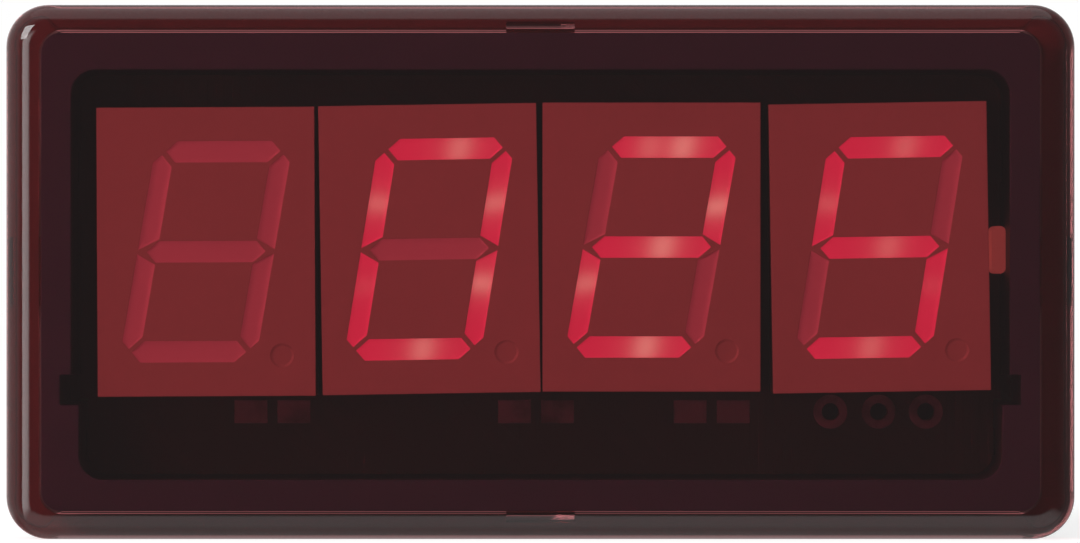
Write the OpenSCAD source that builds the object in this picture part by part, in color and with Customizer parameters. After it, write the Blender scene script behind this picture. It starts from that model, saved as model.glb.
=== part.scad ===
// Digital panel meter: 48 x 24 mm front, four seven-segment digits behind a clear red cap.
// Millimetres, +X to the right, +Z up, the front faces -Y.
// The origin is the middle of the panel cut-out, on the panel's front surface.

/* [Front cap] */
// Width of the front cap
bezel_w = 48; // [47.6:0.1:52]
// Height of the front cap
bezel_h = 24; // [23.8:0.1:28]
// Depth of the cap, from its face to the end of its skirt
cap_depth = 5; // [4.6:0.1:8]
// Thickness of the window in the cap
window_t = 1.8; // [1.4:0.1:2.2]
// Corner radius of the cap, seen from the front
cap_corner_r = 1.9; // [1.5:0.1:3]
// Radius of the rounded edge round the cap's face
cap_edge_r = 1.2; // [0.6:0.1:1.4]
// Gap all round between the cap's skirt and the case
cap_gap = 0.1; // [0.05:0.01:0.15]
// Width of each snap lug inside the skirt
lug_w = 3; // [2:0.1:5]
// Depth of each snap lug, front to back
lug_d = 1; // [0.6:0.1:1.4]
// How far each snap lug reaches into the case wall
lug_bite = 0.3; // [0.15:0.05:0.4]

/* [Panel seal] */
// Thickness of the panel seal
seal_t = 1; // [0.5:0.1:2]
// How far the seal stands in from the cap's outline
seal_inset = 0.2; // [0.15:0.05:0.6]

/* [Case] */
// How far the cap overlaps the case at each side, so that the case passes through a 45 mm cut-out
rim_side = 1.55; // [1.4:0.05:1.7]
// How far the cap overlaps the case above and below, so that the case passes through a 22.2 mm cut-out
rim_top = 1.25; // [1.1:0.05:1.35]
// Depth behind the panel's front surface, rear cover included
case_depth = 46; // [45:0.5:60]
// Corner radius of the case
case_r = 0.9; // [0.5:0.1:1.4]
// Thickness of the side walls
wall_side = 1.35; // [1.3:0.05:1.5]
// Thickness of the top wall
wall_top = 1.65; // [1.4:0.05:1.8]
// Thickness of the bottom wall
wall_bottom = 1.4; // [1.2:0.05:1.6]
// How much thicker each side wall is below the board groove
low_step = 0.35; // [0.2:0.05:0.5]
// Corner radius of the cavity
cavity_r = 1.1; // [0.9:0.1:1.5]
// Number of cooling slots in the top, and in the bottom
vents = 9; // [3:1:11]
// Width of a cooling slot
vent_w = 1.2; // [0.8:0.1:1.6]
// Length of a cooling slot
vent_l = 9; // [4:0.5:10]

/* [Rear cover] */
// Thickness of the rear cover
cover_t = 1.8; // [1.4:0.1:2.4]
// Length of the lip that enters the case
lip_l = 3; // [2.6:0.1:3.4]
// Wall of the lip
lip_t = 1; // [0.8:0.1:1.2]
// Width of each catch on the lip
catch_w = 5; // [3:0.1:7]

/* [Digits] */
// Room in the cavity beside the row of digit blocks, on each side
row_margin = 1.045; // [0.9:0.005:1.3]
// Room above the digit blocks
room_above = 1.55; // [1.2:0.05:1.8]
// Room below the digit blocks
room_below = 3.9; // [3.6:0.05:4.2]
// Depth of one digit block, from its face to the display board
digit_d = 6.8; // [6.4:0.1:7.4]
// Recess of the digit faces behind the window
face_recess = 0.5; // [0.3:0.1:1]
// Gap between the first and second blocks
gap_12 = 0.25; // [0.15:0.05:0.3]
// Gap between the second and third blocks
gap_23 = 0.19; // [0.15:0.02:0.3]
// Gap between the third and fourth blocks
gap_34 = 0.47; // [0.2:0.05:0.6]
// Height of a block's face that the figure leaves, above and below together
figure_margin_h = 3.05; // [2.8:0.05:3.5]
// Width of a block's face that the upright bars leave, at both sides together
figure_margin_w = 3.65; // [3.4:0.05:4]
// Thickness of the level bars
bar_t = 0.96; // [0.8:0.02:1.1]
// Thickness of the upright bars
bar_w = 0.88; // [0.75:0.01:1]
// Gap between bars at a mitre
bar_gap = 0.17; // [0.1:0.01:0.25]
// Lean of the figures in degrees
lean = 10; // [0:0.5:12]
// Radius of the decimal point
point_r = 0.53; // [0.4:0.01:0.6]
// Depth of the tapered light wells
well_d = 4.6; // [4:0.1:4.8]
// Size of a well's floor as a share of its mouth
well_taper = 0.6; // [0.4:0.05:0.9]
// Wall of a digit block round its rear pocket
block_wall = 0.6; // [0.45:0.05:0.7]

/* [Boards] */
// Thickness of the display board
display_board_t = 1.6; // [1.2:0.1:2]
// Thickness of the main board
main_board_t = 1.2; // [0.8:0.1:1.6]
// Height of the main board's top above the cavity floor
main_board_rise = 4.65; // [4.5:0.05:4.8]
// Depth of the board grooves in the side walls
groove_d = 0.5; // [0.3:0.05:0.55]
// Number of angled pins that join the two boards
link_pins = 12; // [6:1:14]

/* [Terminals] */
// Number of wire terminals
poles = 6; // [3:1:6]
// Spacing of the wire terminals
pitch = 5.08; // [5:0.01:5.1]
// Height of the plug
plug_h = 15; // [14.6:0.1:16]
// Depth of the plug's body behind its nose
plug_d = 13.8; // [13:0.1:16]
// Length of the plug's nose in the socket
nose_d = 8.2; // [7.8:0.1:8.6]
// Height of the plug's nose
nose_h = 6.8; // [6.4:0.1:7]
// Wall of the terminal socket above and below the nose
socket_wall = 0.8; // [0.6:0.05:0.9]
// Wall of the terminal socket at its two ends
socket_end = 1.4; // [1:0.1:1.8]
// Length of the terminal socket
socket_d = 12; // [11.6:0.1:12.6]
// Radius of a terminal screw's head
screw_head_r = 1.95; // [1.8:0.05:2]
// Travel of a wire clamp
clamp_travel = 2.5; // [1.5:0.1:2.6]

/* [Panel latches] */
// Width of each spring latch
latch_w = 7; // [5:0.1:7.2]
// Thickness of the latch's steel strip
latch_t = 0.3; // [0.2:0.05:0.35]
// How far a latch stands out from the case
latch_reach = 1; // [0.6:0.05:1.05]
// Length of a latch, from its root to its crest
latch_l = 14.1; // [12:0.1:18]

/* [Hidden] */
$fn = 64;
fit = 0.1;                                   // gap between pieces that slide past each other
past = 1;                                    // how far a cut runs past the surface that it opens

// Depths along Y
cap_back = -seal_t;
cap_face = cap_back - cap_depth;
case_front = cap_face + window_t;            // the case's rim touches the window
case_back = case_depth - cover_t;
digit_face = case_front + face_recess;
board_face = digit_face + digit_d;           // front of the display board
board_rear = board_face + display_board_t;
socket_back = case_depth + 0.5;              // the socket's mouth stands just proud of the rear cover
socket_root = socket_back - socket_d;
main_board_front = board_rear + fit;
main_board_rear = socket_root + 5.5;

// Heights along Z, and half widths along X
case_w = bezel_w - 2 * rim_side;
case_h = bezel_h - 2 * rim_top;
cavity_top = case_h / 2 - wall_top;
cavity_floor = -(case_h / 2 - wall_bottom);
cavity_x = case_w / 2 - wall_side;
main_board_top = cavity_floor + main_board_rise;
main_board_under = main_board_top - main_board_t;
groove_x = cavity_x + groove_d;
groove_play = 0.08;                          // above and below the main board in its grooves

// Digit row: the blocks stand side by side, each a little askew as soldered
digit_w = (2 * (cavity_x - row_margin) - gap_12 - gap_23 - gap_34) / 4;
digit_h = cavity_top - cavity_floor - room_above - room_below;
digit_z = cavity_top - room_above - digit_h / 2;
figure_w = digit_w - figure_margin_w;
figure_h = digit_h - figure_margin_h;
row_shift = 0.11;
row_w = 4 * digit_w + gap_12 + gap_23 + gap_34;
block_tilt = [0.3, 0.9, 0, 0.95];            // degrees, right side up
block_rise = [-0.14, -0.02, 0.07, 0.06];
block_x = [for (i = [0:3]) row_shift - row_w / 2 + (i + 0.5) * digit_w
           + (i > 0 ? gap_12 : 0) + (i > 1 ? gap_23 : 0) + (i > 2 ? gap_34 : 0)];
point_at = [figure_w / 2 + 0.325, 0.295 - figure_h / 2];   // decimal point, from the middle of its block
web_t = 0.4;                                 // layer of resin over a digit's own circuit board
circuit_t = 0.8;
circuit_gap = 0.05;                          // round that board in its block
light_chip = 0.32;
pin_r = 0.24;
pin_row = digit_w - 2.18;                    // between a digit's two rows of pins
pin_step = (digit_h - 2.84) / 4;
pin_tail = 0.35;                             // how far the pins stand out behind the display board

// Terminal block
plug_w = poles * pitch;
pin_axis_z = main_board_top + socket_wall + fit + nose_h / 2;
socket_w = plug_w + 2 * (fit + socket_end);
socket_h = nose_h + 2 * (fit + socket_wall);
plug_front = socket_back + fit;              // the plug's shoulder, just off the socket's mouth
plug_nose = plug_front - nose_d;
socket_floor = plug_nose - 2 * fit;
plug_back = plug_front + plug_d;
plug_under = pin_axis_z - plug_h / 2;
plug_top = pin_axis_z + plug_h / 2;
post_w = 1;                                  // square section of the socket's pins
contact_play = 0.05;                         // between a pin and the two leaves that grip it
contact_t = 0.4;
contact_w = 2.2;
contact_top = pin_axis_z + post_w / 2 + contact_play + contact_t;
screw_y = plug_front + 5.3;
screw_r = 1.25;
screw_play = 0.05;                           // radial, in the wire clamp's thread
screw_head_t = 1.6;
head_sink = 0.4;                             // from the plug's top down to the screw heads
slot_w = 0.6;
slot_d = 0.8;
seat_z = plug_top - head_sink - screw_head_t;
seat_t = 0.7;                                // plug material under each screw head
clamp_w = 4;
clamp_d = 4.2;
clamp_wall = 0.5;
clamp_head = 1.1;                            // thickness of the clamp's threaded top
clamp_top = contact_top + 0.05;              // underside of the threaded top when fully open
window_h = clamp_travel + 1.7;               // height of the clamp's wire window
entry_w = 3.7;
entry_h = 3.5;
entry_lip = 0.35;                            // the flare round each wire entry
entry_z = contact_top - contact_t - entry_h / 2;
function pole_x(i) = (i - (poles + 1) / 2) * pitch;

// Latches: root, crest and lip in the XY plane, for the right-hand one
latch_z = 1.5;
latch_root = [case_w / 2 - 0.5, 4.4 + latch_l];
latch_crest = [case_w / 2 + latch_reach - latch_t / 2, 4.4];
latch_lip = latch_crest - [0.35, 3];
latch_bend = latch_root + [0, 1.1];
latch_end = [cavity_x - 0.6, latch_bend[1]];
latch_pocket_d = 0.95;
latch_pocket_y = 0.9;
latch_play = 0.15;

// ---- shared shapes ----

// A flat outline in X and Z, carried from y over the depth d towards +Y
module inward(y, d, taper = 1)
    translate([0, y, 0]) rotate([90, 0, 0]) mirror([0, 0, 1])
        linear_extrude(height = d, scale = taper) children();

// A box from its lowest corner to its highest
module span_box(a, b) translate(a) cube(b - a);

// A round rod or hole along +Y
module rod_y(r, y, l) translate([0, y, 0]) rotate([-90, 0, 0]) cylinder(r = r, h = l);

module both_sides() for (s = [0, 1]) mirror([s, 0, 0]) children();

module round_rect(w, h, r) {
    square([w - 2 * r, h], center = true);
    square([w, h - 2 * r], center = true);
    for (x = [-1, 1], z = [-1, 1]) translate([x * (w / 2 - r), z * (h / 2 - r)]) circle(r);
}

module quarter_disc(r) intersection() { circle(r); square(r); }

// A block whose corners have the radius rc and whose front edge, at y = -d, has the radius re
module soft_front_block(w, h, d, rc, re) {
    inward(-d + re, d - re) round_rect(w, h, rc);
    inward(-d, re) {
        square([w - 2 * rc, h - 2 * re], center = true);
        square([w - 2 * re, h - 2 * rc], center = true);
    }
    for (s = [0, 1]) mirror([0, 0, s]) translate([-(w / 2 - rc), -d + re, h / 2 - re])
        rotate([90, 0, 90]) linear_extrude(w - 2 * rc) mirror([1, 0]) quarter_disc(re);
    both_sides() translate([w / 2 - re, -d + re, -(h / 2 - rc)])
        linear_extrude(h - 2 * rc) mirror([0, 1]) quarter_disc(re);
    for (s = [0, 1]) mirror([0, 0, s]) both_sides() translate([w / 2 - rc, -d + re, h / 2 - rc])
        rotate([90, 0, 0]) rotate_extrude(angle = 90) {
            square([rc - re, re]);
            translate([rc - re, 0]) quarter_disc(re);
        }
}

// The case's inner outline, which steps in below the board groove, drawn smaller by inset
module cavity_outline(inset = 0) {
    w = 2 * (cavity_x - inset);
    h = cavity_top - cavity_floor - 2 * inset;
    mid = (cavity_top + cavity_floor) / 2;
    r = cavity_r - inset;
    translate([0, mid]) round_rect(w - 2 * low_step, h, r);
    intersection() {
        translate([0, mid]) round_rect(w, h, r);
        translate([-w, main_board_under + inset]) square([2 * w, h]);
    }
}

module case_outline(grow = 0) round_rect(case_w + 2 * grow, case_h + 2 * grow, case_r + grow);

// ---- front ----

// Places a child that stands on the +X side at the middle of all four sides of the case
module at_four_sides() {
    both_sides() translate([case_w / 2, 0, 0]) children();
    for (s = [0, 1]) mirror([0, 0, s]) translate([0, 0, case_h / 2]) rotate([0, -90, 0]) children();
}
lug_y = cap_back - lug_d - 0.5;

module front_cap() color([0.55, 0.02, 0.05, 0.5]) {
    difference() {
        translate([0, cap_back, 0]) soft_front_block(bezel_w, bezel_h, cap_depth, cap_corner_r, cap_edge_r);
        inward(case_front, cap_depth) case_outline(cap_gap);
    }
    at_four_sides() span_box([-lug_bite, lug_y, -lug_w / 2], [cap_gap, lug_y + lug_d, lug_w / 2]);
}

module panel_seal() color([0.06, 0.06, 0.06])
    difference() {
        inward(cap_back, seal_t)
            round_rect(bezel_w - 2 * seal_inset, bezel_h - 2 * seal_inset, cap_corner_r - seal_inset);
        inward(cap_back - past, seal_t + 2 * past) case_outline(cap_gap);
    }

// ---- case ----

catch_d = 1;                                 // each catch, front to back
catch_h = 0.6;                               // how far a catch stands out from the lip
catch_y = case_back - 2.2;
catch_x = case_w / 4;
catch_play = 0.15;
vent_step = 2.6;
vent_y = case_back - 12;
stop_w = 1;
stop_l = 12;

module housing() color([0.09, 0.08, 0.09])
    difference() {
        union() {
            difference() {
                inward(case_front, case_back - case_front) case_outline();
                inward(case_front - past, case_depth + 10 * past) cavity_outline();
            }
            both_sides() board_stops();
        }
        span_box([-groove_x, case_front - past, main_board_under - groove_play],
                 [groove_x, case_depth, main_board_top + groove_play]);
        at_four_sides() span_box([-lug_bite - fit, lug_y - fit, -lug_w / 2 - fit],
                                 [past, lug_y + lug_d + fit, lug_w / 2 + fit]);
        both_sides() latch_pocket();
        for (x = [-catch_x, catch_x]) translate([x, catch_y + catch_d / 2, 0])
            cube([catch_w + 2 * catch_play, catch_d + 2 * catch_play, case_h + past], center = true);
        for (i = [1:vents]) translate([(i - (vents + 1) / 2) * vent_step, vent_y, 0])
            cube([vent_w, vent_l, case_h + past], center = true);
    }

// Ribs on the right-hand wall that the display board's rear face rests on
module board_stops() {
    span_box([cavity_x - stop_w, board_rear, cavity_top - 5],
             [cavity_x + groove_d, board_rear + stop_l, cavity_top - 3.6]);
    span_box([cavity_x - low_step - stop_w, board_rear, cavity_floor + 1],
             [cavity_x, board_rear + stop_l, cavity_floor + 2.2]);
}

// Recess on the right for the latch, and the slot that its end passes through
module latch_pocket() {
    z = [latch_z - latch_w / 2 - latch_play, latch_z + latch_w / 2 + latch_play];
    half_slot = latch_t / 2 + latch_play;
    span_box([case_w / 2 - latch_pocket_d, latch_pocket_y, z[0]], [case_w, latch_bend[1] + half_slot, z[1]]);
    span_box([cavity_x - past, latch_bend[1] - half_slot, z[0]], [case_w, latch_bend[1] + half_slot, z[1]]);
}

module rear_cover() color([0.08, 0.08, 0.085])
    difference() {
        union() {
            inward(case_back, cover_t) case_outline();
            difference() {
                inward(case_back - lip_l, lip_l) cavity_outline(fit);
                inward(case_back - lip_l - past, lip_l + past) cavity_outline(fit + lip_t);
            }
            for (x = [-catch_x, catch_x]) {
                span_box([x - catch_w / 2, catch_y, cavity_top - fit - lip_t],
                         [x + catch_w / 2, catch_y + catch_d, cavity_top - fit + catch_h]);
                span_box([x - catch_w / 2, catch_y, cavity_floor + fit - catch_h],
                         [x + catch_w / 2, catch_y + catch_d, cavity_floor + fit + lip_t]);
            }
        }
        span_box([-socket_w / 2 - fit, case_back - lip_l - past, main_board_top - fit],
                 [socket_w / 2 + fit, case_depth + past, main_board_top + socket_h + fit]);
    }

// ---- digits ----

// Figure outline: half sizes, inner corner and the line x + z = cut along its outer corners
half_w = figure_w / 2;
half_h = figure_h / 2;
in_x = half_w - bar_w;
in_z = half_h - bar_t;
cut = half_w + half_h - bar_t;
mitre = bar_gap / sqrt(2);

function leaned(p) = [for (q = p) [q[0] + q[1] * tan(lean), q[1]]];
function flip_x(p) = [for (q = p) [-q[0], q[1]]];
function flip_z(p) = [for (q = p) [q[0], -q[1]]];
// Where the mitre, moved out by m, meets the outer corner cut
function on_cut(m) = [(cut + in_x - in_z - m) / 2, (cut - in_x + in_z + m) / 2];

tip = on_cut(mitre);
upright_tip = on_cut(-1.6 * mitre);
// Level bar at the top, upright bar at the upper right, and the middle bar
level_bar = [[cut - half_h, half_h], tip, [in_x - mitre, in_z], [-in_x + mitre, in_z],
             [-tip[0], tip[1]], [half_h - cut, half_h]];
upright_bar = [[half_w, cut - half_w], [half_w, 0.8 * mitre], [in_x, bar_t / 2 + 0.8 * mitre],
               [in_x, in_z - 1.6 * mitre], upright_tip];
middle_bar = [[in_x, bar_t / 2], [in_x + bar_t / 2, 0], [in_x, -bar_t / 2],
              [-in_x, -bar_t / 2], [-in_x - bar_t / 2, 0], [-in_x, bar_t / 2]];
bars = [for (b = [level_bar, upright_bar, flip_z(upright_bar), flip_z(level_bar),
                  flip_z(flip_x(upright_bar)), flip_x(upright_bar), middle_bar]) leaned(b)];
// Middle of each bar's outline, moved to where its light chip sits
chip_shift = [[1.3, 0], [0, 0], [0, 0.35], [0.3, 0], [0, 0.35], [0, 0], [0.25, 0]];
function middle(p, k) = (min([for (q = p) q[k]]) + max([for (q = p) q[k]])) / 2;
chip_at = [for (i = [0:6]) [middle(bars[i], 0), middle(bars[i], 1)] + chip_shift[i]];
web_y = digit_face + well_d;
circuit_y = web_y + web_t;

// Everything in a block is drawn about the middle of its face
module in_block(i)
    translate([block_x[i], 0, digit_z + block_rise[i]]) rotate([0, -block_tilt[i], 0]) children();

// The seven wells, from the face inward, each narrowing towards its light chip
module bar_wells()
    for (i = [0:6]) translate([chip_at[i][0], 0, chip_at[i][1]])
        inward(digit_face, well_d, well_taper) translate(-chip_at[i]) polygon(bars[i]);

module point_well() translate([point_at[0], 0, point_at[1]]) rod_y(point_r, digit_face, well_d);

module pocket_outline(inset = 0)
    square([digit_w, digit_h] - 2 * (block_wall + inset) * [1, 1], center = true);

// The light chips on the circuit board's front face, carried on behind that face by reach
module light_chips(reach)
    for (c = concat(chip_at, [point_at])) translate([c[0], 0, c[1]])
        inward(circuit_y - light_chip / 2, light_chip / 2 + reach) square(light_chip, center = true);

module digit_block(i) color([0.45, 0.44, 0.44]) in_block(i)
    difference() {
        inward(digit_face, digit_d) square([digit_w, digit_h], center = true);
        inward(web_y, digit_d) pocket_outline();
        bar_wells();
        point_well();
    }

module light_guides(i) color([0.85, 0.25, 0.25]) in_block(i)
    difference() {
        union() {
            bar_wells();
            point_well();
            inward(web_y, web_t) pocket_outline();
        }
        light_chips(past);
    }

module digit_circuit(i) color([0.12, 0.3, 0.16]) in_block(i) {
    difference() {
        inward(circuit_y, circuit_t) pocket_outline(circuit_gap);
        digit_pin_places() rod_y(pin_r, circuit_y - past, circuit_t + 2 * past);
    }
    light_chips(circuit_t / 2);
}

module digit_pin_places()
    for (x = [-pin_row / 2, pin_row / 2], k = [-2:2]) translate([x, 0, k * pin_step]) children();

module digit_pins(i) color([0.8, 0.8, 0.78]) in_block(i) digit_pin_places()
    rod_y(pin_r, circuit_y, board_rear + pin_tail - circuit_y);

// ---- display board ----

pad_z = cavity_floor + 2.99;
pad_t = 0.05;
round_pads_x = cavity_x * [1, 1, 1] - [7.9, 5.7, 3.55];
round_pad_r = 0.78;
round_pad_hole_r = 0.39;
jumpers_x = [-12.2, -0.2, 7.8];              // pairs of pads
jumper_half_step = 0.98;
jumper_pad = [1.5, 1.05];
pin_hole_r = pin_r + fit;

module display_board() color([0.05, 0.1, 0.07])
    difference() {
        inward(board_face, display_board_t) cavity_outline(latch_play);
        for (i = [0:3]) in_block(i) digit_pin_places()
            rod_y(pin_hole_r, board_face - past, display_board_t + 2 * past);
        for (x = round_pads_x) translate([x, 0, pad_z])
            rod_y(round_pad_hole_r, board_face - past, display_board_t + 2 * past);
    }

module board_pads() color([0.75, 0.72, 0.68]) {
    for (x = round_pads_x) translate([x, 0, pad_z]) inward(board_face - pad_t, pad_t)
        difference() { circle(round_pad_r); circle(round_pad_hole_r); }
    for (x = jumpers_x, s = [-1, 1]) translate([x + s * jumper_half_step, 0, pad_z])
        inward(board_face - pad_t, pad_t) square(jumper_pad, center = true);
}

side_capacitor_size = [0.62, 2.15];          // seen from the front
side_capacitor_front = digit_face + 2;
module side_capacitor() color([0.8, 0.55, 0.2])
    translate([cavity_x - side_capacitor_size[0] / 2 - fit, 0, 1])
        inward(side_capacitor_front, board_face - side_capacitor_front)
            round_rect(side_capacitor_size[0], side_capacitor_size[1], 0.25);

link_pin_w = 0.64;
link_step = 2.54;
link_foot = 3;                               // along the main board's underside
link_drop = 2.2;                             // down the display board's rear face
link_pin_t = 0.4;
module board_link_pins() color([0.75, 0.65, 0.3])
    for (i = [1:link_pins])
        translate([(i - (link_pins + 1) / 2) * link_step - link_pin_w / 2, board_rear, main_board_under]) {
            translate([0, 0, -link_drop]) cube([link_pin_w, link_pin_t, link_drop]);
            translate([0, 0, -link_pin_t]) cube([link_pin_w, link_foot, link_pin_t]);
        }

// ---- main board and what stands on it ----

leg_y = socket_root + 2.2;                   // where the socket's pins go through the board
leg_hole_r = 0.8;
can_leg_x = 1.75;                            // half the spacing of a capacitor's legs
can_leg_r = 0.3;
rear_row_y = socket_root - 5.5;
can_r = 4;
can_h = cavity_top - main_board_top - 2.3;
cans_x = [6.1 - cavity_x, 15.3 - cavity_x];

module main_board() color([0.05, 0.22, 0.12])
    difference() {
        span_box([-groove_x + fit, main_board_front, main_board_under],
                 [groove_x - fit, main_board_rear, main_board_top]);
        for (i = [1:poles]) translate([pole_x(i), leg_y, main_board_under - past])
            cylinder(r = leg_hole_r, h = main_board_t + 2 * past);
        can_legs_at() cylinder(r = can_leg_r + fit, h = main_board_t + 2 * past);
    }

module can_legs_at()
    for (x = cans_x, s = [-1, 1])
        translate([x + s * can_leg_x, rear_row_y, main_board_under - past]) children();

// A gull-wing lead in the YZ plane, out from y = 0: shoulder at the height rise, knee, foot on the board
lead_t = 0.15;
module gull_lead(w, out, rise)
    translate([-w / 2, 0, 0]) rotate([90, 0, 90]) linear_extrude(w)
        polygon([[0, rise], [0, rise + lead_t], [0.45 * out, rise + lead_t], [0.45 * out + lead_t, rise],
                 [0.6 * out + lead_t, lead_t], [out, lead_t], [out, 0], [0.6 * out, 0], [0.45 * out, rise]]);

// A flat chip package that stands just off the board, with a moulded spot at one corner
chip_stand = 0.1;
module package(at, size, spot, spot_r)
    translate([at[0], at[1], main_board_top + chip_stand + size[2] / 2]) difference() {
        cube(size, center = true);
        translate([spot[0], spot[1], size[2] / 2 - 0.1]) cylinder(r = spot_r, h = past);
    }

processor_at = [12.1 - cavity_x, board_rear + 12];
processor_size = [10, 10, 2];
module processor() color([0.1, 0.1, 0.1]) package(processor_at, processor_size, [-3.8, 3.8], 0.5);
module processor_leads() color([0.8, 0.8, 0.8])
    translate([processor_at[0], processor_at[1], main_board_top])
        for (a = [0:90:270], k = [-5:5]) rotate([0, 0, a])
            translate([k * 0.8, processor_size[1] / 2, 0]) gull_lead(0.35, 1.4, 0.9);

converter_at = [cavity_x - 13.6, board_rear + 10.5];
converter_size = [10.3, 7.5, 2.2];
module converter_chip() color([0.1, 0.1, 0.1]) package(converter_at, converter_size, [-4, 0], 0.6);
module converter_leads() color([0.8, 0.8, 0.8])
    translate([converter_at[0], converter_at[1], main_board_top])
        for (a = [0, 180], k = [-3.5:3.5]) rotate([0, 0, a])
            translate([k * 1.27, converter_size[1] / 2, 0]) gull_lead(0.42, 1.5, 1);

crystal_at = [cavity_x - 5.8, board_rear + 11];
crystal_size = [4.4, 10.8, 3.5];
module crystal() color([0.78, 0.78, 0.76])
    translate([crystal_at[0], crystal_at[1], main_board_top]) linear_extrude(crystal_size[2])
        round_rect(crystal_size[0], crystal_size[1], crystal_size[0] / 2 - 0.05);

module smoothing_capacitors() color([0.12, 0.14, 0.3]) {
    for (x = cans_x) translate([x, rear_row_y, main_board_top])
        rotate_extrude() polygon([[0, 0], [can_r - 0.3, 0], [can_r, 0.3], [can_r, 1.1],
                                  [can_r - 0.25, 1.4], [can_r - 0.25, 1.7], [can_r, 2],
                                  [can_r, can_h - 0.4], [can_r - 0.3, can_h], [0, can_h]]);
    can_legs_at() cylinder(r = can_leg_r, h = main_board_t + past);
}

choke_x = cavity_x - 6.6;
choke_r = 4;
choke_post_r = 2;
choke_rim = 1;
choke_h = 6;
winding_h = choke_h - 2 * choke_rim;
turns = 5;
module choke_core() color([0.2, 0.2, 0.2]) translate([choke_x, rear_row_y, main_board_top])
    rotate_extrude() polygon([[0, 0], [choke_r, 0], [choke_r, choke_rim], [choke_post_r, choke_rim],
                              [choke_post_r, choke_h - choke_rim], [choke_r, choke_h - choke_rim],
                              [choke_r, choke_h], [0, choke_h]]);
module choke_winding() color([0.7, 0.35, 0.15]) translate([choke_x, rear_row_y, main_board_top + choke_rim])
    rotate_extrude() difference() {
        square([choke_r - 0.3, winding_h]);
        square([choke_post_r, choke_h]);
        for (k = [0:turns - 1]) translate([choke_r - 0.15, (k + 0.5) * winding_h / turns]) circle(0.3);
    }

regulator_size = [6.4, 6, 2.3];
regulator_x = 4.6;
module regulator() color([0.12, 0.12, 0.12]) translate([regulator_x, rear_row_y, main_board_top]) {
    translate([0, 0, regulator_size[2] / 2]) cube(regulator_size, center = true);
    translate([-2.6, regulator_size[1] / 2, 0]) cube([5.2, 1, 0.6]);
    for (k = [-1, 1]) translate([k * 2.3 - 0.4, -regulator_size[1] / 2 - 1.6, 0]) cube([0.8, 1.6, 0.6]);
}

// Small chip parts: a row across the front of the main board and one along each of its sides
chip_part = [2, 1.3, 0.6];
chip_step = 3;
chip_row_y = board_rear + 4;
left_column_x = 2.6 - cavity_x;
right_column_x = cavity_x - 1.8;
module chip_parts() color([0.35, 0.3, 0.25]) translate([0, chip_row_y, main_board_top + chip_part[2] / 2]) {
    for (k = [-4:4]) translate([k * chip_step, 0, 0]) cube(chip_part, center = true);
    for (k = [0:5]) translate([left_column_x, k * chip_step, 0]) rotate([0, 0, 90]) cube(chip_part, center = true);
    for (k = [2:6]) translate([right_column_x, k * chip_step, 0]) rotate([0, 0, 90]) cube(chip_part, center = true);
}

// ---- terminals ----

module at_poles() for (i = [1:poles]) translate([pole_x(i), 0, 0]) children();

module terminal_socket() color([0.13, 0.42, 0.24])
    difference() {
        span_box([-socket_w / 2, socket_root, main_board_top],
                 [socket_w / 2, socket_back, main_board_top + socket_h]);
        span_box([-plug_w / 2 - fit, socket_floor, pin_axis_z - nose_h / 2 - fit],
                 [plug_w / 2 + fit, socket_back + past, pin_axis_z + nose_h / 2 + fit]);
        at_poles() {
            span_box([-post_w / 2, socket_root - past, pin_axis_z - post_w / 2],
                     [post_w / 2, socket_floor + past, pin_axis_z + post_w / 2]);
            span_box([-leg_hole_r, socket_root - past, main_board_top - past],
                     [leg_hole_r, leg_y + leg_hole_r, pin_axis_z + post_w / 2]);
        }
    }

module socket_pins() color([0.82, 0.82, 0.8])
    at_poles() {
        span_box([-post_w / 2, leg_y - post_w / 2, pin_axis_z - post_w / 2],
                 [post_w / 2, socket_back - 1.5, pin_axis_z + post_w / 2]);
        span_box([-post_w / 2, leg_y - post_w / 2, main_board_under - 1.2],
                 [post_w / 2, leg_y + post_w / 2, pin_axis_z]);
    }

rib_gap_w = 0.5;                             // grooves that mark off the poles
rib_gap_d = 0.5;

module plug_body() color([0.13, 0.45, 0.25])
    difference() {
        translate([-plug_w / 2, 0, 0]) rotate([90, 0, 90]) linear_extrude(plug_w) plug_profile();
        at_poles() pole_cuts();
        for (i = [1:poles - 1]) translate([pole_x(i) + pitch / 2, 0, 0]) {
            span_box([-rib_gap_w / 2, plug_front + 0.8, plug_top - rib_gap_d],
                     [rib_gap_w / 2, plug_back, plug_top + past]);
            span_box([-rib_gap_w / 2, plug_back - rib_gap_d, plug_under],
                     [rib_gap_w / 2, plug_back + past, plug_top]);
        }
    }

// Side view of the plug in Y and Z: nose, shoulder and body with its corners cut off
module plug_profile()
    polygon([[plug_nose, pin_axis_z - nose_h / 2], [plug_front, pin_axis_z - nose_h / 2],
             [plug_front, plug_under + 1], [plug_front + 1, plug_under],
             [plug_back - 1.2, plug_under], [plug_back, plug_under + 1.2],
             [plug_back, plug_top - 2.6], [plug_back - 2.2, plug_top],
             [plug_front + 0.8, plug_top], [plug_front, plug_top - 0.8],
             [plug_front, pin_axis_z + nose_h / 2], [plug_nose, pin_axis_z + nose_h / 2]]);

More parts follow.
